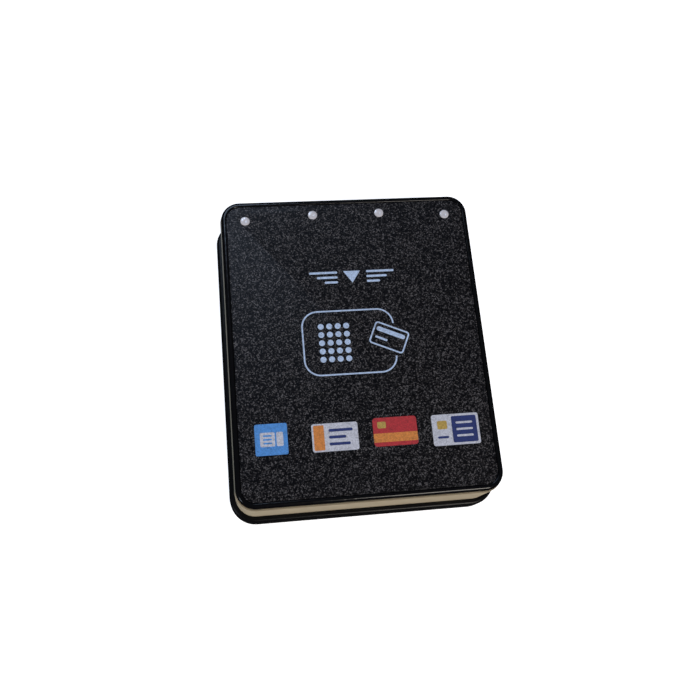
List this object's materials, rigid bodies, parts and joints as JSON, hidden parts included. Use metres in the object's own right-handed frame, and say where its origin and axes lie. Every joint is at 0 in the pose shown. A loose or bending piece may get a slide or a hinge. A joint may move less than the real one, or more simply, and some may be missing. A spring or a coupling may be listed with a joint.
{
  "type": "contactless card reader module",
  "caption": "Flat contactless payment reader for a ticket vending machine: black bezel and overlay, lamps along the top, pale frame, black rear housing.",
  "frame": {"origin": "middle of the flat rear face, which the module lies on", "axes": "+Z out of the reading face, +Y towards the row of lamps, +X to the right as a customer sees the face"},
  "size_m": [0.0718, 0.0864, 0.022],
  "materials": {
    "gloss_black": "moulded, glossy",
    "overlay_film": "fine grained sheet with light prints",
    "glue_film": "clear film of glue",
    "seal_rubber": "soft cord",
    "pale_plastic": "moulded, satin",
    "housing_plastic": "moulded, fine satin texture",
    "brass": "turned",
    "screw_steel": "zinc plated",
    "label_film": "blank silver film",
    "clear_plastic": "clear, polished",
    "lamp_resin": "clear resin",
    "board_green": "solder resist on glass fibre",
    "copper": "etched copper",
    "ferrite": "sintered",
    "capacitor_ceramic": "fired",
    "shield_tin": "tinned sheet",
    "chip_resin": "moulded resin",
    "cell_steel": "nickel plated",
    "buzzer_plastic": "moulded",
    "connector_plastic": "natural nylon",
    "switch_plastic": "moulded",
    "plunger_plastic": "moulded",
    "lock_plastic": "moulded",
    "flex_film": "polyester film"
  },
  "bodies": {
    "module": {"front_bezel": "gloss_black", "front_overlay": "overlay_film", "overlay_adhesive": "glue_film", "front_seal": "seal_rubber", "mid_frame": "pale_plastic", "rear_seal": "seal_rubber", "rear_housing": "housing_plastic", "mounting_inserts": "brass", "case_screws": "screw_steel", "rear_label": "label_film", "light_pipe_1": "clear_plastic", "light_pipe_2": "clear_plastic", "light_pipe_3": "clear_plastic", "light_pipe_4": "clear_plastic", "lamp_1": "lamp_resin", "lamp_2": "lamp_resin", "lamp_3": "lamp_resin", "lamp_4": "lamp_resin", "antenna_board": "board_green", "antenna_coil": "copper", "ferrite_sheet": "ferrite", "tuning_capacitors": "capacitor_ceramic", "main_board": "board_green", "board_screws": "screw_steel", "shield_frame": "shield_tin", "shield_lid": "shield_tin", "reader_chip": "chip_resin", "clock_crystal": "shield_tin", "filter_inductors": "ferrite", "processor_chip": "chip_resin", "memory_chip": "chip_resin", "power_inductor": "ferrite", "power_capacitors": "capacitor_ceramic", "backup_cell": "cell_steel", "cell_holder": "shield_tin", "buzzer": "buzzer_plastic", "host_connector": "connector_plastic", "host_pins_block": "brass", "tamper_switch_left": "switch_plastic", "tamper_switch_right": "switch_plastic", "main_flex_socket": "connector_plastic", "antenna_flex_socket": "connector_plastic", "flex_cable": "flex_film"},
    "left_plunger": {"tamper_plunger_left": "plunger_plastic"},
    "right_plunger": {"tamper_plunger_right": "plunger_plastic"},
    "main_lock": {"main_flex_lock": "lock_plastic"},
    "antenna_lock": {"antenna_flex_lock": "lock_plastic"}
  },
  "joints": [
    {"name": "left_plunger_press", "type": "slide", "parent": "module", "child": "left_plunger", "axis": [0, 0, -1], "range_m": [0, 0.00025], "stiffness_N_per_m": 800},
    {"name": "right_plunger_press", "type": "slide", "parent": "module", "child": "right_plunger", "axis": [0, 0, -1], "range_m": [0, 0.00025], "stiffness_N_per_m": 800},
    {"name": "main_lock_flip", "type": "hinge", "parent": "module", "child": "main_lock", "pos_m": [0, 0.0344, 0.0083], "axis": [1, 0, 0], "range_deg": [0, 90]},
    {"name": "antenna_lock_flip", "type": "hinge", "parent": "module", "child": "antenna_lock", "pos_m": [0, 0.0344, 0.0152], "axis": [-1, 0, 0], "range_deg": [0, 90]}
  ]
}
